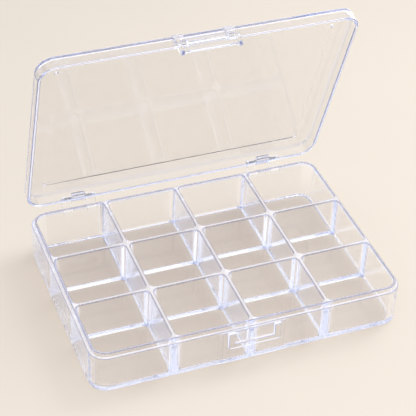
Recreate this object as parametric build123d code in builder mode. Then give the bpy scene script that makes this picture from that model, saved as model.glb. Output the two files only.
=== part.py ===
from build123d import *
import os

# Clear thread storage box, in millimetres, +Z up. The origin is the middle of the
# tray's flat bottom. X runs along the box, and the hinges are at the back, at +Y.

# Tray
tray_length = 200.0
tray_depth = 142.0
corner_radius = 11.0
floor_thickness = 2.0
ledge_height = 26.5
lip_height = 3.0
lip_thickness = 1.6
ledge_width = 1.7
rear_ledge_width = 2.4
bottom_edge_radius = 2.0
rim_edge_radius = 0.7

# Compartments
columns = 4
rows = 3
divider_thickness = 2.8
pocket_corner_radius = 3.0
pocket_floor_radius = 1.4
draft_angle = 1.0

# Lid, as it lies when the box is shut
lid_clearance = 0.3
skirt_thickness = 2.0
skirt_height = 9.3
panel_thickness = 1.8
lid_edge_radius = 2.4
lid_inner_radius = 1.2
lid_rim_radius = 0.6
recess_inset = 12.0
recess_front_inset = 13.6
recess_depth = 0.9
recess_slope = 60.0
recess_corner_radius = 2.8
open_angle = 70.5

# Hinges
hinge_inset = 35.0
tray_knuckle_length = 6.4
lid_knuckle_length = 9.0
knuckle_gap = 0.3
knuckle_radius = 1.9
hinge_setback = 4.4
hinge_rise = 1.2
ear_height = 4.6
web_thickness = 2.8
pin_diameter = 1.2
pin_recess = 1.6
pin_seat_clearance = 0.02
pin_running_clearance = 0.05
pin_chamfer = 0.15

# Catch on the tray's front wall
catch_length = 33.4
catch_arm_length = 4.0
catch_reach = 3.2
catch_drop = 12.0
catch_bar_height = 3.8
catch_corner_radius = 1.2
pad_length = 46.4
pad_slope_length = 3.4
pad_thickness = 1.4
small_edge_radius = 0.4

# Latch flap and the two lugs that carry it
flap_clearance = 0.3
flap_thickness = 1.8
flap_length = 10.3
flap_shoulder = 3.0
flap_corner_radius = 1.0
flap_edge_radius = 0.3
flap_fold = 187.0
hook_length = 1.9
hook_thickness = 1.6
trunnion_diameter = 1.8
trunnion_length = 1.5
trunnion_clearance = 0.05
lug_length = 2.0
lug_root_length = 6.2
lug_root_height = 7.4
lug_root_reach = 3.2
lug_tip_radius = 1.9
pivot_drop = 7.6
pivot_reach = 1.6

# Heights and faces that several pieces share
lip_top = ledge_height + lip_height
wall_thickness = ledge_width + lip_thickness
rear_wall_thickness = rear_ledge_width + lip_thickness
front_face = -tray_depth / 2
rear_face = tray_depth / 2
inner_front = front_face + wall_thickness
inner_rear = rear_face - rear_wall_thickness
inner_length = tray_length - 2 * wall_thickness
inner_depth = inner_rear - inner_front
inner_middle = (inner_front + inner_rear) / 2
lip_front = front_face + ledge_width
lip_rear = rear_face - rear_ledge_width

# The skirt closes over the lip with a gap all round and stops just above the ledge.
skirt_bottom = ledge_height + lid_clearance
lid_overhang = skirt_thickness + lid_clearance - ledge_width
lid_length = tray_length + 2 * lid_overhang
lid_depth = tray_depth + 2 * lid_overhang
lid_corner_radius = corner_radius + lid_overhang
lid_top = skirt_bottom + skirt_height
panel_bottom = lid_top - panel_thickness
lid_front = -lid_depth / 2
lid_rear = lid_depth / 2

# The hinge axis stands behind the rear wall, a little above the top of the lip.
hinge_y = rear_face + hinge_setback
hinge_z = lip_top + hinge_rise
hinge_axis = Axis((0, hinge_y, hinge_z), (1, 0, 0))
hinge_spacing = tray_length - 2 * hinge_inset
hinge_length = 2 * tray_knuckle_length + lid_knuckle_length + 2 * knuckle_gap

# The flap turns on an axis in front of the catch, below the skirt's edge.
catch_front = front_face - catch_reach
catch_top = ledge_height - small_edge_radius
catch_bottom = catch_top - catch_drop
pivot_y = catch_front - pivot_reach
pivot_z = skirt_bottom - pivot_drop
pivot_axis = Axis((0, pivot_y, pivot_z), (1, 0, 0))
lug_inner = catch_length / 2 + flap_clearance
lug_outer = lug_inner + lug_length

# The flap is as wide as the lugs allow at its shoulders, and narrower between their roots.
shoulder_length = 2 * (lug_inner - flap_clearance)
flap_face_length = 2 * (lug_outer - lug_root_length - flap_clearance)

# Tray: outer body with its ledge and lip, drafted compartments, catch and hinge ears
with BuildPart() as base_tray:
    with BuildSketch(Plane.XY):
        RectangleRounded(tray_length, tray_depth, corner_radius)
    extrude(amount=ledge_height)
    fillet(base_tray.faces().sort_by(Axis.Z)[0].edges(), bottom_edge_radius)
    fillet(base_tray.faces().sort_by(Axis.Z)[-1].edges(), small_edge_radius)

    with BuildSketch(Plane.XY.offset(ledge_height)):
        with Locations((0, (lip_front + lip_rear) / 2)):
            RectangleRounded(
                tray_length - 2 * ledge_width,
                lip_rear - lip_front,
                corner_radius - ledge_width,
            )
    extrude(amount=lip_height)
    fillet(base_tray.faces().sort_by(Axis.Z)[-1].edges(), rim_edge_radius)

    # Each cell is a rounded rectangle, and the tray's own inner corners round off the outer four.
    cell_length = (inner_length - (columns - 1) * divider_thickness) / columns
    cell_depth = (inner_depth - (rows - 1) * divider_thickness) / rows
    with BuildSketch(Plane.XY.offset(lip_top)):
        with Locations((0, inner_middle)):
            with GridLocations(
                cell_length + divider_thickness, cell_depth + divider_thickness, columns, rows
            ):
                RectangleRounded(cell_length, cell_depth, pocket_corner_radius)
            RectangleRounded(
                inner_length,
                inner_depth,
                corner_radius - wall_thickness,
                mode=Mode.INTERSECT,
            )
    extrude(amount=floor_thickness - lip_top, taper=draft_angle, mode=Mode.SUBTRACT)
    pocket_floors = base_tray.faces().filter_by(Axis.Z).group_by(Axis.Z)[1]
    fillet(pocket_floors.edges(), pocket_floor_radius)
    rim_face = base_tray.faces().sort_by(Axis.Z)[-1]
    fillet([edge for wire in rim_face.inner_wires() for edge in wire.edges()], rim_edge_radius)

    # A low pad with sloping ends on the front wall backs the catch.
    pad_end = pad_length / 2
    pad_flat_end = pad_end - pad_slope_length
    with BuildSketch(Plane.XY.offset(bottom_edge_radius)):
        with BuildLine():
            Polyline(
                (-pad_end, front_face),
                (-pad_flat_end, front_face - pad_thickness),
                (pad_flat_end, front_face - pad_thickness),
                (pad_end, front_face),
                close=True,
            )
        make_face()
    extrude(amount=catch_top - bottom_edge_radius)
    fillet(base_tray.faces().sort_by(Axis.Y)[0].edges(), small_edge_radius)

    # The catch is a bar held off the wall by an arm at each end, open from above.
    with BuildSketch(Plane.XZ.offset(-front_face)) as catch_face:
        with Locations((0, catch_bottom)):
            Rectangle(catch_length, catch_drop, align=(Align.CENTER, Align.MIN))
        fillet(catch_face.vertices().group_by(Axis.Y)[0], catch_corner_radius)
        with Locations((0, catch_bottom + catch_bar_height)):
            Rectangle(
                catch_length - 2 * catch_arm_length,
                catch_drop - catch_bar_height,
                align=(Align.CENTER, Align.MIN),
                mode=Mode.SUBTRACT,
            )
    extrude(amount=catch_reach)
    fillet(base_tray.faces().sort_by(Axis.Y)[0].edges(), small_edge_radius)

    # Ears behind the rear wall hold the outer knuckles of both hinges.
    for side in (-1, 1):
        for end in (-1, 1):
            ear_middle = side * hinge_spacing / 2 + end * (hinge_length - tray_knuckle_length) / 2
            with BuildSketch(Plane.YZ.offset(ear_middle)):
                with BuildLine():
                    Polyline(
                        (rear_face - small_edge_radius, ledge_height - ear_height),
                        (rear_face - small_edge_radius, ledge_height - small_edge_radius),
                        (lid_rear + lid_clearance, ledge_height - small_edge_radius),
                        (hinge_y - knuckle_radius, hinge_z),
                        (hinge_y + knuckle_radius, hinge_z),
                        (rear_face, ledge_height - ear_height),
                        close=True,
                    )
                make_face()
                with Locations((hinge_y, hinge_z)):
                    Circle(knuckle_radius)
                    Circle(pin_diameter / 2 + pin_seat_clearance, mode=Mode.SUBTRACT)
            extrude(amount=tray_knuckle_length / 2, both=True)

# Lid, shut: a panel with a shallow recess, a skirt all round, the middle knuckles and the lugs
with BuildPart() as lid_shut:
    with BuildSketch(Plane.XY.offset(skirt_bottom)):
        RectangleRounded(lid_length, lid_depth, lid_corner_radius)
    extrude(amount=skirt_height)
    fillet(lid_shut.faces().sort_by(Axis.Z)[-1].edges(), lid_edge_radius)

    with BuildSketch(Plane.XY.offset(skirt_bottom)):
        RectangleRounded(
            lid_length - 2 * skirt_thickness,
            lid_depth - 2 * skirt_thickness,
            lid_corner_radius - skirt_thickness,
        )
    extrude(amount=skirt_height - panel_thickness, mode=Mode.SUBTRACT)
    panel_underside = lid_shut.faces().filter_by(Axis.Z).group_by(Axis.Z)[1]
    fillet(panel_underside.edges(), lid_inner_radius)
    rim = lid_shut.faces().sort_by(Axis.Z)[0]
    fillet(rim.edges(), lid_rim_radius)

    # The recess sinks the panel's middle by one step, outside and inside alike.
    recess_length = lid_length - 2 * recess_inset
    recess_width = lid_depth - recess_inset - recess_front_inset
    recess_middle = (recess_front_inset - recess_inset) / 2
    for height, recess_mode in ((lid_top, Mode.SUBTRACT), (panel_bottom, Mode.ADD)):
        with BuildSketch(Plane.XY.offset(height)):
            with Locations((0, recess_middle)):
                RectangleRounded(recess_length, recess_width, recess_corner_radius)
        extrude(amount=-recess_depth, taper=recess_slope, mode=recess_mode)

    # Middle knuckles stand off the rear skirt on a short web.
    for side in (-1, 1):
        with BuildSketch(Plane.YZ.offset(side * hinge_spacing / 2)):
            with Locations((hinge_y, hinge_z)):
                Circle(knuckle_radius)
                Rectangle(
                    hinge_y - lid_rear + skirt_thickness / 2,
                    web_thickness,
                    align=(Align.MAX, Align.CENTER),
                )
                Circle(pin_diameter / 2 + pin_running_clearance, mode=Mode.SUBTRACT)
        extrude(amount=lid_knuckle_length / 2, both=True)

    # Each lug has a thick root on the skirt and a leg that reaches down past its edge.
    root_bottom = skirt_bottom + small_edge_radius
    for side in (-1, 1):
        with BuildSketch(Plane.YZ.offset(side * (lug_outer - lug_root_length / 2))):
            with BuildLine():
                Polyline(
                    (lid_front + skirt_thickness / 2, root_bottom),
                    (pivot_y - lug_tip_radius, root_bottom),
                    (lid_front - lug_root_reach, root_bottom + lug_root_height / 2),
                    (lid_front - lug_root_reach / 2, root_bottom + lug_root_height),
                    (lid_front + skirt_thickness / 2, root_bottom + lug_root_height),
                    close=True,
                )
            make_face()
        extrude(amount=lug_root_length / 2, both=True)
        with BuildSketch(Plane.YZ.offset(side * (lug_inner + lug_length / 2))):
            with Locations((pivot_y, pivot_z)):
                Circle(lug_tip_radius)
                Rectangle(
                    2 * lug_tip_radius,
                    root_bottom + small_edge_radius - pivot_z,
                    align=(Align.CENTER, Align.MIN),
                )
        extrude(amount=lug_length / 2, both=True)
    with BuildSketch(Plane.YZ):
        with Locations((pivot_y, pivot_z)):
            Circle(trunnion_diameter / 2 + trunnion_clearance)
    extrude(amount=lug_inner + trunnion_length, both=True, mode=Mode.SUBTRACT)

# Latch flap, turned down and hooked under the catch bar
hook_top = catch_bottom - flap_clearance
flap_inner_face = pivot_y + flap_thickness / 2
with BuildPart() as flap_hooked:
    with BuildSketch(Plane.XZ.offset(-pivot_y)) as flap_face:
        with Locations((0, pivot_z)):
            Rectangle(shoulder_length, flap_shoulder, align=(Align.CENTER, Align.MAX))
            Rectangle(flap_face_length, flap_length, align=(Align.CENTER, Align.MAX))
        fillet(flap_face.vertices().group_by(Axis.Y)[0], flap_corner_radius)
    extrude(amount=flap_thickness / 2, both=True)
    outer_edges = flap_hooked.faces().sort_by(Axis.Y)[0].edges()
    lower_edges = flap_hooked.edges().group_by(Axis.Z)[0] + outer_edges.group_by(Axis.Z)[1]
    fillet(lower_edges, flap_edge_radius)
    with BuildSketch(Plane.YZ):
        with Locations((pivot_y, pivot_z)):
            Circle(flap_thickness / 2)
    extrude(amount=shoulder_length / 2, both=True)
    with BuildSketch(Plane.YZ):
        with BuildLine():
            Polyline(
                (pivot_y, hook_top),
                (flap_inner_face + hook_length, hook_top),
                (flap_inner_face + hook_length, hook_top - hook_thickness / 2),
                (flap_inner_face, hook_top - hook_thickness),
                (pivot_y, hook_top - hook_thickness),
                close=True,
            )
        make_face()
    extrude(amount=flap_face_length / 2, both=True)
    with BuildSketch(Plane.YZ):
        with Locations((pivot_y, pivot_z)):
            Circle(trunnion_diameter / 2)
    extrude(amount=lug_inner + trunnion_length - flap_clearance, both=True)

# The modelled rest pose: flap folded up against the skirt, lid swung open by its angle
with BuildPart() as lid:
    add(lid_shut.part.rotate(hinge_axis, -open_angle))
with BuildPart() as latch_flap:
    add(flap_hooked.part.rotate(pivot_axis, -flap_fold).rotate(hinge_axis, -open_angle))

# Steel hinge pins
pin_length = hinge_length - 2 * pin_recess
with BuildPart() as hinge_pin_left:
    with BuildSketch(Plane.YZ.offset(-hinge_spacing / 2)):
        with Locations((hinge_y, hinge_z)):
            Circle(pin_diameter / 2)
    extrude(amount=pin_length / 2, both=True)
    chamfer(hinge_pin_left.edges().filter_by(GeomType.CIRCLE), pin_chamfer)
with BuildPart() as hinge_pin_right:
    add(hinge_pin_left.part.mirror(Plane.YZ))

os.makedirs("parts", exist_ok=True)
pieces = {
    "base_tray": base_tray,
    "lid": lid,
    "latch_flap": latch_flap,
    "hinge_pin_left": hinge_pin_left,
    "hinge_pin_right": hinge_pin_right,
}
for name, piece in pieces.items():
    piece.part.label = name
    export_step(piece.part, f"parts/{name}.step")

# Places of the two joint axes in the modelled pose
hinge_point = Vector(0, hinge_y, hinge_z)
pivot_point = Vector(0, pivot_y, pivot_z)
pivot_open = hinge_point + (pivot_point - hinge_point).rotate(Axis.X, -open_angle)
print("lid hinge axis at y, z:", hinge_y, hinge_z)
print("latch pivot axis at y, z:", round(pivot_open.Y, 4), round(pivot_open.Z, 4))
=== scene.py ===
import math

import bmesh
import bpy
from mathutils import Matrix, Vector


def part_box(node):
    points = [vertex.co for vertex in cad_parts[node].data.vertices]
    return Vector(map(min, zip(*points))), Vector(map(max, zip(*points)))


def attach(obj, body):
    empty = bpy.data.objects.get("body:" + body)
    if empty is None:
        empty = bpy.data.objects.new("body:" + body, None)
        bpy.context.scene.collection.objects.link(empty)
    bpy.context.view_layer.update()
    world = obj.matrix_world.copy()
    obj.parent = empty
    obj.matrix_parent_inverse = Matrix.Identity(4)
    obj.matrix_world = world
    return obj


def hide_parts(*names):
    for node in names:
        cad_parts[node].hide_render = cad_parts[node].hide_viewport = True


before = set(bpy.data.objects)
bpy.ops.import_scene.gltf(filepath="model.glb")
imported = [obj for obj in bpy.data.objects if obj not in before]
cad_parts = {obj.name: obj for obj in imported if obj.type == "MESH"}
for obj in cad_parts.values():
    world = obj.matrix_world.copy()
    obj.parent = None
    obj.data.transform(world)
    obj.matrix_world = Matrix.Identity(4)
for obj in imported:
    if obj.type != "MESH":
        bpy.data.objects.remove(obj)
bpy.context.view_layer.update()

mm = 0.001


def addObject(name, data):
    thing = bpy.data.objects.new(name, data)
    bpy.context.scene.collection.objects.link(thing)
    return thing


# Camera: a long lens above the box's front left corner
cameraSettings = {
    "azimuth": math.radians(22.24),
    "height": math.radians(38.06),
    "roll": math.radians(2.47),
    "place": Vector((-268.1, -646.6, 610.1)) * mm,
    "lens": 125.0,
    "sensor": 36.0,
    "clip": (0.05, 20.0),
}


def placeCamera(settings):
    azimuth, height, roll = settings["azimuth"], settings["height"], settings["roll"]
    ahead = Vector((
        math.sin(azimuth) * math.cos(height),
        math.cos(azimuth) * math.cos(height),
        -math.sin(height),
    ))
    level = Vector((math.cos(azimuth), -math.sin(azimuth), 0))
    upright = level.cross(ahead)
    right = level * math.cos(roll) + upright * math.sin(roll)
    up = upright * math.cos(roll) - level * math.sin(roll)
    lens = bpy.data.cameras.new("boxCamera")
    lens.lens = settings["lens"]
    lens.sensor_width = settings["sensor"]
    lens.clip_start, lens.clip_end = settings["clip"]
    camera = addObject("boxCamera", lens)
    turn = Matrix((right, up, -ahead)).transposed().to_4x4()
    camera.matrix_world = Matrix.Translation(settings["place"]) @ turn
    bpy.context.scene.camera = camera


placeCamera(cameraSettings)
print("camera placed")


# Adds a node. Each of its inputs takes a plain value or the output socket that feeds it.
def addNode(tree, kind, place, inputs=None, **settings):
    node = tree.nodes.new(kind)
    node.location = place
    for name, value in settings.items():
        setattr(node, name, value)
    for name, value in (inputs or {}).items():
        if isinstance(value, bpy.types.NodeSocket):
            tree.links.new(value, node.inputs[name])
        else:
            node.inputs[name].default_value = value
    return node


def addMath(tree, place, operation, *values):
    node = addNode(tree, "ShaderNodeMath", place, dict(enumerate(values)), operation=operation)
    return node.outputs[0]


def addRange(tree, place, value, source, target=(0, 1), curve="LINEAR"):
    node = addNode(tree, "ShaderNodeMapRange", place, {
        "Value": value,
        "From Min": source[0],
        "From Max": source[1],
        "To Min": target[0],
        "To Max": target[1],
    }, interpolation_type=curve)
    return node.outputs["Result"]


# A Mix node numbers its sockets by what it mixes: the first of the two inputs, then the output.
mixSockets = {"FLOAT": (2, 0), "RGBA": (6, 2)}


def addMix(tree, place, kind, share, first, second):
    start, result = mixSockets[kind]
    inputs = {0: share, start: first, start + 1: second}
    return addNode(tree, "ShaderNodeMix", place, inputs, data_type=kind).outputs[result]


def addRamp(tree, place, share, stops):
    node = addNode(tree, "ShaderNodeValToRGB", place, {"Fac": share})
    marks = node.color_ramp.elements
    for index, (position, colour) in enumerate(stops):
        mark = marks[index] if index < 2 else marks.new(position)  # a new ramp has two marks
        mark.position = position
        mark.color = colour
    return node.outputs["Color"]


def newGroup(name, kind, inputs, outputs):
    group = bpy.data.node_groups.new(name, kind)
    for side, sockets in (("INPUT", inputs), ("OUTPUT", outputs)):
        for label, socketKind in sockets.items():
            group.interface.new_socket(label, in_out=side, socket_type="NodeSocket" + socketKind)
    source = addNode(group, "NodeGroupInput", (-1200, 0))
    return group, source.outputs


def newMaterial(name):
    material = bpy.data.materials.new(name)
    material.use_nodes = True
    material.node_tree.nodes.clear()
    return material, material.node_tree


# Shader group: faint mould flow and fine handling scratches, shared by every finish
mouldedFinish = {
    "usual": {
        "Flow Scale": 30.0, "Flow Depth": 0.1, "Scratch Scale": 900.0,
        "Scratch Depth": 0.05, "Least Roughness": 0.02, "Most Roughness": 0.06,
    },
    "flowDetail": 1.5,
    "flowDistortion": 0.6,
    "flowHeight": 0.6 * mm,
    "glossFrom": (0.3, 0.7),
    "scratchStretch": (1.0, 0.12, 0.12),  # long one way, fine across
    "scratchTurn": (0.3, 0.2, 0.7),
    "scratchDetail": 3.0,
    "scratchFrom": (0.62, 0.75),  # only the noise's peaks leave a mark
    "scratchHeight": 0.03 * mm,
}


def makeMouldedSurface(settings):
    inputs = {label: "Float" for label in settings["usual"]}
    outputs = {"Roughness": "Float", "Normal": "Vector"}
    group, given = newGroup("mouldedSurface", "ShaderNodeTree", inputs, outputs)
    place = addNode(group, "ShaderNodeTexCoord", (-900, -300)).outputs["Object"]
    flow = addNode(group, "ShaderNodeTexNoise", (-600, 200), {
        "Vector": place,
        "Scale": given["Flow Scale"],
        "Detail": settings["flowDetail"],
        "Distortion": settings["flowDistortion"],
    }).outputs["Fac"]
    stretch = addNode(group, "ShaderNodeMapping", (-750, -300), {
        "Vector": place,
        "Scale": settings["scratchStretch"],
        "Rotation": settings["scratchTurn"],
    })
    scratch = addNode(group, "ShaderNodeTexNoise", (-550, -300), {
        "Vector": stretch.outputs["Vector"],
        "Scale": given["Scratch Scale"],
        "Detail": settings["scratchDetail"],
    })
    roughness = (given["Least Roughness"], given["Most Roughness"])
    thin = addRange(group, (-300, -300), scratch.outputs["Fac"], settings["scratchFrom"])
    gloss = addRange(group, (-300, 250), flow, settings["glossFrom"], roughness)
    wave = addNode(group, "ShaderNodeBump", (100, 0), {
        "Height": flow,
        "Strength": given["Flow Depth"],
        "Distance": settings["flowHeight"],
    })
    mark = addNode(group, "ShaderNodeBump", (400, -100), {
        "Height": thin,
        "Strength": given["Scratch Depth"],
        "Distance": settings["scratchHeight"],
        "Normal": wave.outputs["Normal"],
    })
    addNode(group, "NodeGroupOutput", (700, 0), {"Roughness": gloss, "Normal": mark.outputs["Normal"]})
    return group


mouldedSurface = makeMouldedSurface(mouldedFinish)


def useMouldedSurface(tree, changes):
    values = {**mouldedFinish["usual"], **changes}
    return addNode(tree, "ShaderNodeGroup", (-300, -100), values, node_tree=mouldedSurface).outputs


# Marks that each face of a moulding carries, and the attributes that hold them; they place the painted edge
# shade, glow and highlights
faceMarks = {
    "turn": "edgeTurn",  # how tightly the surface turns, from 0 to 1
    "round": "edgeRound",  # 1 on wider turns, such as a compartment's corners
    "crest": "edgeCrest",  # 1 on narrow flats that run between two turns
}

# Shader group: painted light and shade on the edges: tight turns take a painted cool shade,
# and turns and crests take a faint painted glow and painted highlights
paintedEdgeLightSettings = {
    "Painted Edge Shade Color": (0.44, 0.47, 0.63, 1),
    "Edge Roughness": 0.05,
    "Painted Edge Glow": (0.01, 0.013, 0.03, 1),
    "Painted Round Highlight": (0.062, 0.063, 0.066, 1),
    "Painted Crest Color": (1.0, 1.0, 1.0, 1),
    "Crest Roughness": 0.12,
    "Painted Crest Highlight": (0.20, 0.23, 0.29, 1),
}
noPaintedGlow = (0, 0, 0, 1)


def makePaintedEdgeLight():
    inputs = {"Flat Color": "Color", "Flat Roughness": "Float"}
    for label in paintedEdgeLightSettings:
        inputs[label] = "Float" if label.endswith("Roughness") else "Color"
    outputs = {"Color": "Color", "Roughness": "Float", "Glow": "Color"}
    group, given = newGroup("paintedEdgeLight", "ShaderNodeTree", inputs, outputs)
    turn, wide, crest = (
        addNode(group, "ShaderNodeAttribute", (-500, 300 + 200 * row), attribute_name=mark).outputs["Fac"]
        for row, mark in enumerate(faceMarks.values())
    )
    # Painted cool shade on tight turns, and white on crests as part of their painted highlight
    edged = addMix(group, (-200, 200), "RGBA", turn, given["Flat Color"], given["Painted Edge Shade Color"])
    colour = addMix(group, (100, 200), "RGBA", crest, edged, given["Painted Crest Color"])
    worn = addMix(group, (-200, -200), "FLOAT", turn, given["Flat Roughness"], given["Edge Roughness"])
    rough = addMix(group, (100, -200), "FLOAT", crest, worn, given["Crest Roughness"])
    # Painted glow on turns, and painted highlights on rounds and crests
    lit = addMix(group, (-200, -500), "RGBA", turn, noPaintedGlow, given["Painted Edge Glow"])
    broad = addMix(group, (-50, -700), "RGBA", wide, lit, given["Painted Round Highlight"])
    glow = addMix(group, (100, -500), "RGBA", crest, broad, given["Painted Crest Highlight"])
    addNode(group, "NodeGroupOutput", (400, 0), {"Color": colour, "Roughness": rough, "Glow": glow})
    return group


paintedEdgeLight = makePaintedEdgeLight()


# Clear styrene: lamps shine through it, and its depth takes a faint blue
clearFinish = {
    "refraction": 1.5,
    "clearness": 1.0,
    "glow": 1.0,
    "lampColour": (0.925, 0.91, 0.90, 1),
    "depthColour": (0.80, 0.83, 0.94, 1),
    "depthDensity": 9.0,
}


def clearStyrene(settings):
    material, tree = newMaterial(settings["material"])
    surface = useMouldedSurface(tree, settings["surface"])
    tint = addNode(tree, "ShaderNodeGroup", (-100, 300), {
        "Flat Color": settings["flatColour"],
        "Flat Roughness": surface["Roughness"],
        **paintedEdgeLightSettings,
    }, node_tree=paintedEdgeLight).outputs
    shader = addNode(tree, "ShaderNodeBsdfPrincipled", (200, 100), {
        "Base Color": tint["Color"],
        "Roughness": tint["Roughness"],
        "Normal": surface["Normal"],
        "IOR": clearFinish["refraction"],
        "Transmission Weight": clearFinish["clearness"],
        # The emission is the painted glow and painted highlights of the edges and crests
        "Emission Color": tint["Glow"],
        "Emission Strength": clearFinish["glow"],
    })
    lampLight = addNode(tree, "ShaderNodeBsdfTransparent", (200, -300), {"Color": clearFinish["lampColour"]})
    path = addNode(tree, "ShaderNodeLightPath", (200, 450)).outputs
    tableRays = addNode(tree, "ShaderNodeMixShader", (500, 100), {
        0: path["Is Diffuse Ray"], 1: shader.outputs[0], 2: lampLight.outputs[0],
    })
    lampRays = addNode(tree, "ShaderNodeMixShader", (700, 100), {
        0: path["Is Shadow Ray"], 1: tableRays.outputs[0], 2: lampLight.outputs[0],
    })
    depth = addNode(tree, "ShaderNodeVolumeAbsorption", (600, -200), {
        "Color": clearFinish["depthColour"],
        "Density": clearFinish["depthDensity"],
    })
    addNode(tree, "ShaderNodeOutputMaterial", (900, 0), {
        "Surface": lampRays.outputs[0],
        "Volume": depth.outputs[0],
    })
    return material


# Drawn steel wire: fine lines along the wire, from dark to bright
wireFinish = {
    "surface": {
        "Flow Scale": 400.0, "Flow Depth": 0.2, "Scratch Scale": 4000.0,
        "Scratch Depth": 0.5, "Least Roughness": 0.18, "Most Roughness": 0.34,
    },
    "lineScale": (60.0, 2500.0, 2500.0),
    "shades": ((0.0, (0.16, 0.16, 0.18, 1)), (1.0, (0.36, 0.365, 0.38, 1))),
    "metallic": 1.0,
}


def drawnWire(name, settings):
    material, tree = newMaterial(name)
    surface = useMouldedSurface(tree, settings["surface"])
    place = addNode(tree, "ShaderNodeTexCoord", (-700, 300)).outputs["Object"]
    along = addNode(tree, "ShaderNodeMapping", (-500, 300), {"Vector": place, "Scale": settings["lineScale"]})
    lines = addNode(tree, "ShaderNodeTexNoise", (-300, 300), {"Vector": along.outputs["Vector"], "Scale": 1.0})
    shade = addRamp(tree, (-100, 300), lines.outputs["Fac"], settings["shades"])
    shader = addNode(tree, "ShaderNodeBsdfPrincipled", (200, 100), {
        "Base Color": shade,
        "Roughness": surface["Roughness"],
        "Normal": surface["Normal"],
        "Metallic": settings["metallic"],
    })
    addNode(tree, "ShaderNodeOutputMaterial", (900, 0), {"Surface": shader.outputs[0]})
    return material


# The three clear mouldings. Turns take the full painted edge shade up to the first shade radius and none past the
# second, and those between the glow radii take the painted round highlight instead.
traySettings = {
    "node": "base_tray",
    "body": "tray",
    "name": "trayMoulding",
    "material": "trayStyrene",
    "flatColour": (0.985, 0.985, 0.99, 1),
    "surface": {"Flow Scale": 22.0, "Flow Depth": 0.06, "Scratch Depth": 0.04},
    "sharpAngle": math.radians(25),
    "paintedShadeRadii": (0.85 * mm, 1.35 * mm),
    "paintedGlowRadii": (1.35 * mm, 3.3 * mm),
}
lidSettings = {
    "node": "lid",
    "body": "lid",
    "name": "lidMoulding",
    "material": "lidStyrene",
    "flatColour": (0.935, 0.93, 0.93, 1),
    "surface": {"Flow Scale": 14.0, "Flow Depth": 0.05, "Scratch Depth": 0.05},
    "sharpAngle": math.radians(35),
    "paintedShadeRadii": (1.4 * mm, 3.4 * mm),
    "paintedGlowRadii": (1.0 * mm, 1.5 * mm),
}
flapSettings = {
    "node": "latch_flap",
    "body": "latch",
    "name": "latchFlapMoulding",
    "material": "flapStyrene",
    "flatColour": (0.96, 0.965, 0.98, 1),
    "surface": {"Flow Scale": 60.0, "Flow Depth": 0.04, "Scratch Depth": 0.04},
    "sharpAngle": math.radians(25),
    "paintedShadeRadii": (0.5 * mm, 1.1 * mm),
    "paintedGlowRadii": (0.0, 0.0),  # no painted round highlight on the flap
}
mouldings = (traySettings, lidSettings, flapSettings)

plastics = [clearStyrene(settings) for settings in mouldings]
pinSteel = drawnWire("pinSteel", wireFinish)
print("finishes made")


# Dressing: a merged copy of each moulding's mesh, with its flats kept flat under smooth shading
dressSettings = {
    "joinDistance": 0.002 * mm,
    "flatAngle": math.radians(1),  # faces that bend less than this are one flat
    "bendAngles": (math.radians(2), math.radians(28)),  # the bends of a rounded edge
    "crestWidth": 1.55 * mm,
    "crestRatio": 0.6,  # beside a crest, the turns are narrower than this share of its width
    "leastLength": 1e-9,
    "flatWeight": 100,  # wide faces set the shading normals
}


def bendOf(edge):
    return edge.calc_face_angle(0) if len(edge.link_faces) == 2 else 0.0


# Sorts the faces into flat facets, and gives each face its facet's width, the steepest bend beside it,
# and the mean width of the facets across its bends
def measureFacets(shape):
    flattest, steepest = dressSettings["bendAngles"]
    leastLength = dressSettings["leastLength"]
    facetOf = [None] * len(shape.faces)
    widths, bends = [], []
    for first in shape.faces:
        if facetOf[first.index] is not None:
            continue
        facet = facetOf[first.index] = len(widths)
        waiting = [first]
        area = outline = bend = 0.0
        while waiting:
            face = waiting.pop()
            area += face.calc_area()
            for edge in face.edges:
                angle = bendOf(edge)
                if angle < dressSettings["flatAngle"]:
                    for near in edge.link_faces:
                        if facetOf[near.index] is None:
                            facetOf[near.index] = facet
                            waiting.append(near)
                else:
                    outline += edge.calc_length()
                    if flattest < angle < steepest:
                        bend = max(bend, angle)
        widths.append(2 * area / max(outline, leastLength))
        bends.append(bend)
    lengths, beside = [0.0] * len(widths), [0.0] * len(widths)
    for edge in shape.edges:
        if flattest < bendOf(edge) < steepest:
            one, other = (facetOf[face.index] for face in edge.link_faces)
            for here, there in ((one, other), (other, one)):
                lengths[here] += edge.calc_length()
                beside[here] += edge.calc_length() * widths[there]
    return [
        (widths[facet], bends[facet], beside[facet] / max(lengths[facet], leastLength))
        for facet in facetOf
    ]


# One value a face for each face mark
def markFaces(shape, settings):
    tight, loose = settings["paintedShadeRadii"]
    firstGlow, lastGlow = settings["paintedGlowRadii"]
    values = {mark: [] for mark in faceMarks}
    for width, bend, beside in measureFacets(shape):
        radius = width / bend if bend else math.inf
        narrow = bend > 0 and width < dressSettings["crestWidth"]
        isCrest = narrow and beside < dressSettings["crestRatio"] * width
        isRound = not isCrest and firstGlow < radius < lastGlow
        turn = min(max((loose - radius) / (loose - tight), 0), 1)
        values["turn"].append(0.0 if isCrest or isRound else float(turn))
        values["round"].append(float(isRound))
        values["crest"].append(float(isCrest))
    return values


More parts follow.
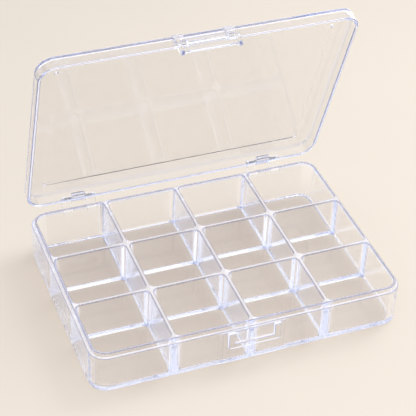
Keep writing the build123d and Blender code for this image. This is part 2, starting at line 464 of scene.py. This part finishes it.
def dressMoulding(settings, plastic):
    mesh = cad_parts[settings["node"]].data.copy()
    mesh.name = settings["name"]
    shape = bmesh.new()
    shape.from_mesh(mesh)
    bmesh.ops.remove_doubles(shape, verts=shape.verts, dist=dressSettings["joinDistance"])
    shape.faces.index_update()
    for edge in shape.edges:
        edge.smooth = len(edge.link_faces) == 2 and bendOf(edge) < settings["sharpAngle"]
    for face in shape.faces:
        face.smooth = True
        face.material_index = 0
    faceValues = markFaces(shape, settings)
    shape.to_mesh(mesh)
    shape.free()
    for mark, values in faceValues.items():
        mesh.attributes.new(faceMarks[mark], "FLOAT", "FACE").data.foreach_set("value", values)
    mesh.materials.clear()
    mesh.materials.append(plastic)
    piece = addObject(settings["name"], mesh)
    flats = piece.modifiers.new("flatFaces", "WEIGHTED_NORMAL")
    flats.keep_sharp = True
    flats.weight = dressSettings["flatWeight"]
    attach(piece, settings["body"])
    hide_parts(settings["node"])


for settings, plastic in zip(mouldings, plastics):
    dressMoulding(settings, plastic)
print("mouldings dressed")


# Hinge pins: one wire, chamfered at both ends, set out by Geometry Nodes at the two hinges
pinSettings = {
    "film": 0.05 * mm,  # the plastic grips the steel, so no air shows between them
    "tip": 0.15 * mm,
    "sides": 32,
    "count": 2,
}


def makePinTree():
    tree, given = newGroup("hingePins", "GeometryNodeTree", {
        "Wire Length": "Float", "Wire Radius": "Float", "Tip": "Float", "Sides": "Int",
        "First Pin": "Vector", "Spacing": "Float", "Pins": "Int", "Steel": "Material",
    }, {"Geometry": "Geometry"})
    right = addMath(tree, (-1000, 300), "MULTIPLY", given["Wire Length"], 0.5)
    left = addMath(tree, (-1000, 150), "MULTIPLY", given["Wire Length"], -0.5)
    start = addNode(tree, "ShaderNodeCombineXYZ", (-800, 150), {"X": left})
    end = addNode(tree, "ShaderNodeCombineXYZ", (-800, 300), {"X": right})
    wire = addNode(tree, "GeometryNodeCurvePrimitiveLine", (-600, 250), {
        "Start": start.outputs[0], "End": end.outputs[0],
    })
    fine = addNode(tree, "GeometryNodeResampleCurve", (-400, 250), {
        "Curve": wire.outputs["Curve"], "Length": given["Tip"],
    }, mode="LENGTH")

    # The radius drops by the tip's size at each end.
    along = addNode(tree, "GeometryNodeSplineParameter", (-800, -100)).outputs["Length"]
    rest = addMath(tree, (-600, -100), "SUBTRACT", given["Wire Length"], along)
    nearest = addMath(tree, (-450, -100), "MINIMUM", along, rest)
    taper = addMath(tree, (-300, -100), "SUBTRACT", nearest, given["Tip"])
    drop = addMath(tree, (-150, -100), "MINIMUM", taper, 0.0)
    radius = addMath(tree, (0, -100), "ADD", given["Wire Radius"], drop)
    ring = addNode(tree, "GeometryNodeCurvePrimitiveCircle", (0, 50), {
        "Resolution": given["Sides"], "Radius": 1.0,
    }, mode="RADIUS")
    solid = addNode(tree, "GeometryNodeCurveToMesh", (200, 250), {
        "Curve": fine.outputs["Curve"],
        "Profile Curve": ring.outputs["Curve"],
        "Scale": radius,
        "Fill Caps": True,
    })

    step = addNode(tree, "ShaderNodeCombineXYZ", (200, -150), {"X": given["Spacing"]})
    hinges = addNode(tree, "GeometryNodeMeshLine", (400, -100), {
        "Count": given["Pins"],
        "Start Location": given["First Pin"],
        "Offset": step.outputs[0],
    })
    placed = addNode(tree, "GeometryNodeInstanceOnPoints", (600, 100), {
        "Points": hinges.outputs["Mesh"], "Instance": solid.outputs["Mesh"],
    })
    real = addNode(tree, "GeometryNodeRealizeInstances", (800, 100), {"Geometry": placed.outputs["Instances"]})
    steel = addNode(tree, "GeometryNodeSetMaterial", (1000, 100), {
        "Geometry": real.outputs["Geometry"], "Material": given["Steel"],
    })
    addNode(tree, "NodeGroupOutput", (1200, 0), {"Geometry": steel.outputs["Geometry"]})
    return tree


# A plain mesh object from a Geometry Nodes tree and its named inputs
def buildFromTree(name, tree, values):
    holder = addObject(name + "Source", bpy.data.meshes.new(name + "Source"))
    modifier = holder.modifiers.new(name, "NODES")
    modifier.node_group = tree
    for socket in tree.interface.items_tree:
        if socket.item_type == "SOCKET" and socket.in_out == "INPUT":
            modifier[socket.identifier] = values[socket.name]
    ready = holder.evaluated_get(bpy.context.evaluated_depsgraph_get())
    mesh = bpy.data.meshes.new_from_object(ready)
    bpy.data.objects.remove(holder)
    mesh.name = name
    return addObject(name, mesh)


def makePins(settings):
    leftLow, leftHigh = (Vector(corner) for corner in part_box("hinge_pin_left"))
    rightLow = Vector(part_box("hinge_pin_right")[0])
    size = leftHigh - leftLow
    pins = buildFromTree("hingePins", makePinTree(), {
        "Wire Length": size.x,
        "Wire Radius": size.z / 2 + settings["film"],
        "Tip": settings["tip"],
        "Sides": settings["sides"],
        "First Pin": (leftLow + leftHigh) / 2,
        "Spacing": rightLow.x - leftLow.x,
        "Pins": settings["count"],
        "Steel": pinSteel,
    })
    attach(pins, "tray")
    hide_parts("hinge_pin_left", "hinge_pin_right")


makePins(pinSettings)
print("hinge pins set")


# Stage: one pale table top that runs out of sight
floorSettings = {
    "size": 12.0,
    "drop": 0.3 * mm,  # a hair below the tray, so that the two never share a surface
    # Painted light and shade: the table's colour goes from lit near the viewer to shaded far off
    "paintedLitColour": (0.97, 0.88, 0.77, 1),
    "paintedShadeColour": (0.55, 0.50, 0.44, 1),
    "paintedFalloff": (-0.35, 0.90),  # in metres along the painted falloff's direction: the painted lit colour, then the painted shade colour
    "paintedFalloffAlong": (0.554, 0.832, 0.0),
    "mottle": 0.02,
    "mottleScale": 9.0,
    "mottleDetail": 4.0,
    "toothScale": 700.0,
    "toothDepth": 0.15,
    "toothHeight": 0.1 * mm,
    "roughness": (0.5, 0.7),
    "specular": 0.2,
    "glowColour": (0.86, 0.79, 0.71, 1),  # what eyes and clear walls see of the table far off
    "glowFrom": (0.7, 1.6),  # metres from the box: none of it at the first, all at the second
    "backGain": 3.2,  # painted reflection: the table behind the box glows this much brighter, for gloss alone, as a white board there would
    "backFrom": (0.2, 1.0),  # where the painted reflection starts and is full, in metres along the painted falloff's direction
}


# Painted board: painted light and shade make it paler towards the viewer and darker away, and it has a faint
# mottle and a fine tooth
def palePaint(settings):
    material, tree = newMaterial("palePaint")
    place = addNode(tree, "ShaderNodeTexCoord", (-1100, 0)).outputs["Object"]
    along = addNode(tree, "ShaderNodeVectorMath", (-900, 200), {
        0: place, 1: settings["paintedFalloffAlong"],
    }, operation="DOT_PRODUCT").outputs["Value"]
    # Painted shade: a fade from the lit colour to the darker one, standing in for the lamps' falloff
    paintedFalloff = addRange(tree, (-700, 200), along, settings["paintedFalloff"])
    shade = addMix(tree, (-450, 200), "RGBA", paintedFalloff, settings["paintedLitColour"], settings["paintedShadeColour"])
    cloud = addNode(tree, "ShaderNodeTexNoise", (-700, -100), {
        "Vector": place, "Scale": settings["mottleScale"], "Detail": settings["mottleDetail"],
    })
    mottleLimits = (1 - settings["mottle"], 1 + settings["mottle"])
    mottle = addRange(tree, (-450, -100), cloud.outputs["Fac"], (0, 1), mottleLimits)
    paint = addNode(tree, "ShaderNodeVectorMath", (-150, 150), {0: shade, "Scale": mottle}, operation="SCALE")
    tooth = addNode(tree, "ShaderNodeTexNoise", (-700, -400), {
        "Vector": place, "Scale": settings["toothScale"],
    }).outputs["Fac"]
    gloss = addRange(tree, (-450, -350), tooth, (0, 1), settings["roughness"])
    grain = addNode(tree, "ShaderNodeBump", (-450, -600), {
        "Height": tooth, "Strength": settings["toothDepth"], "Distance": settings["toothHeight"],
    })
    shader = addNode(tree, "ShaderNodeBsdfPrincipled", (150, 100), {
        "Base Color": paint.outputs["Vector"],
        "Roughness": gloss,
        "Normal": grain.outputs["Normal"],
        "Specular IOR Level": settings["specular"],
    })

    # Far off, eyes and clear walls see an evenly lit table, and gloss sees a painted reflection of a white board,
    # which the table's glow gives.
    path = addNode(tree, "ShaderNodeLightPath", (-700, 800)).outputs
    seen = addMath(tree, (-450, 800), "MAXIMUM", path["Is Camera Ray"], path["Is Glossy Ray"])
    through = addMath(tree, (-250, 700), "MAXIMUM", seen, path["Is Transmission Ray"])
    distance = addNode(tree, "ShaderNodeVectorMath", (-900, 500), {0: place}, operation="LENGTH").outputs["Value"]
    far = addRange(tree, (-700, 500), distance, settings["glowFrom"], curve="SMOOTHSTEP")
    back = addRange(tree, (-700, 1000), along, settings["backFrom"], curve="SMOOTHSTEP")
    board = addMath(tree, (-450, 1000), "MULTIPLY", back, path["Is Glossy Ray"])
    widest = addMath(tree, (-250, 500), "MAXIMUM", far, board)
    share = addMath(tree, (0, 600), "MULTIPLY", widest, through)
    gain = addMath(tree, (-100, 900), "MULTIPLY_ADD", board, settings["backGain"], 1.0)
    glow = addNode(tree, "ShaderNodeEmission", (150, 400), {
        "Color": settings["glowColour"], "Strength": gain,
    })
    table = addNode(tree, "ShaderNodeMixShader", (500, 200), {
        0: share, 1: shader.outputs[0], 2: glow.outputs[0],
    })
    addNode(tree, "ShaderNodeOutputMaterial", (900, 0), {"Surface": table.outputs[0]})
    return material


def makeFloor(settings):
    half, low = settings["size"] / 2, -settings["drop"]
    corners = [(-half, -half, low), (half, -half, low), (half, half, low), (-half, half, low)]
    mesh = bpy.data.meshes.new("tableTop")
    mesh.from_pydata(corners, [], [(0, 1, 2, 3)])
    mesh.materials.append(palePaint(settings))
    addObject("tableTop", mesh)


makeFloor(floorSettings)


# Light: a pale sky all round and soft panels
skySettings = {
    "strength": 0.6,
    "glintStrength": 1.5,  # high sky, as a gloss or a clear edge shows it
    "glintFrom": (0.45, 0.8),
    "backGain": 3.2,  # the white board behind the table, which gloss alone picks up
    "backFrom": (0.3, 0.8),  # the look's way to the back: none of the board at the first, all at the second
    "backUpTo": (0.45, 0.15),  # the look's height, in the same order
    "backdropColour": (0.86, 0.79, 0.71, 1),  # what eyes meet past the table
    "backdropUpTo": (0.45, 0.3),  # the look's height where clear walls still show it: none, then all
    "straightBelow": 0.5,  # a ray with fewer glossy bounces than this came straight through
    "bands": (  # height of the look, then colour
        (0.0, (0.40, 0.42, 0.55, 1)),
        (0.35, (0.52, 0.55, 0.68, 1)),
        (0.6, (0.84, 0.87, 0.93, 1)),
        (1.0, (1.0, 1.0, 1.0, 1)),
    ),
}


def paintSky(settings):
    world = bpy.data.worlds.new("studioSky")
    bpy.context.scene.world = world
    world.use_nodes = True
    tree = world.node_tree
    look = addNode(tree, "ShaderNodeTexCoord", (-800, 0)).outputs["Generated"]
    height = addNode(tree, "ShaderNodeSeparateXYZ", (-600, 0), {0: look}).outputs
    bands = addRamp(tree, (-400, 0), height["Z"], settings["bands"])
    path = addNode(tree, "ShaderNodeLightPath", (-600, 500)).outputs

    # Gloss and clear edges pick up a brighter high sky.
    bent = addMath(tree, (-400, 400), "MAXIMUM", path["Is Glossy Ray"], path["Is Transmission Ray"])
    high = addRange(tree, (-400, 200), height["Z"], settings["glintFrom"], curve="SMOOTHSTEP")
    glint = addMath(tree, (-200, 300), "MULTIPLY", bent, high)
    level = addRange(tree, (0, 300), glint, (0, 1), (settings["strength"], settings["glintStrength"]))

    # Gloss alone picks up the white board, which is low and behind the table.
    behind = addRange(tree, (-400, 700), height["Y"], settings["backFrom"], curve="SMOOTHSTEP")
    low = addRange(tree, (-400, 950), height["Z"], settings["backUpTo"], curve="SMOOTHSTEP")
    board = addMath(tree, (-200, 800), "MULTIPLY", behind, low)
    glossy = addMath(tree, (0, 700), "MULTIPLY", board, path["Is Glossy Ray"])
    total = addMath(tree, (200, 500), "MULTIPLY_ADD", glossy, settings["backGain"], level)

    # Eyes meet a plain backdrop, and low down they meet it straight through clear walls too.
    straight = addMath(tree, (-400, -300), "LESS_THAN", path["Glossy Depth"], settings["straightBelow"])
    nearHorizon = addRange(tree, (-400, -500), height["Z"], settings["backdropUpTo"], curve="SMOOTHSTEP")
    clear = addMath(tree, (-200, -300), "MULTIPLY", path["Is Transmission Ray"], straight)
    lowClear = addMath(tree, (0, -300), "MULTIPLY", clear, nearHorizon)
    eye = addMath(tree, (200, -300), "MAXIMUM", lowClear, path["Is Camera Ray"])
    sky = tree.nodes["Background"]
    plain = addMix(tree, (400, 0), "RGBA", eye, bands, settings["backdropColour"])
    even = addMix(tree, (400, 300), "FLOAT", eye, total, 1.0)
    tree.links.new(plain, sky.inputs["Color"])
    tree.links.new(even, sky.inputs["Strength"])


lampSettings = (
    {
        "name": "mainPanel", "place": (1.1, 0.5, 1.4), "size": 0.8,
        "power": 26.0, "colour": (1.0, 0.985, 0.96),
    },
    {
        "name": "sidePanel", "place": (-1.2, -0.6, 1.1), "size": 1.0,
        "power": 2.0, "colour": (0.92, 0.96, 1.0),
    },
)
lampTarget = Vector((0, 0, 0.05))


def hangLamp(settings):
    lamp = bpy.data.lights.new(settings["name"], "AREA")
    lamp.shape = "SQUARE"
    lamp.size = settings["size"]
    lamp.energy = settings["power"]
    lamp.color = settings["colour"]
    panel = addObject(settings["name"], lamp)
    panel.location = settings["place"]
    panel.visible_glossy = panel.visible_transmission = False  # the high sky gives the glints
    aim = lampTarget - Vector(settings["place"])
    panel.rotation_euler = aim.to_track_quat("-Z", "Y").to_euler()


paintSky(skySettings)
for lamp in lampSettings:
    hangLamp(lamp)
print("stage and light set")

bpy.context.scene.view_settings.view_transform = "Standard"

# Stacked clear walls need long light paths
pathSettings = {
    "max_bounces": 96,
    "glossy_bounces": 96,
    "transmission_bounces": 96,
    "transparent_max_bounces": 64,
}
for limit, bounces in pathSettings.items():
    setattr(bpy.context.scene.cycles, limit, bounces)
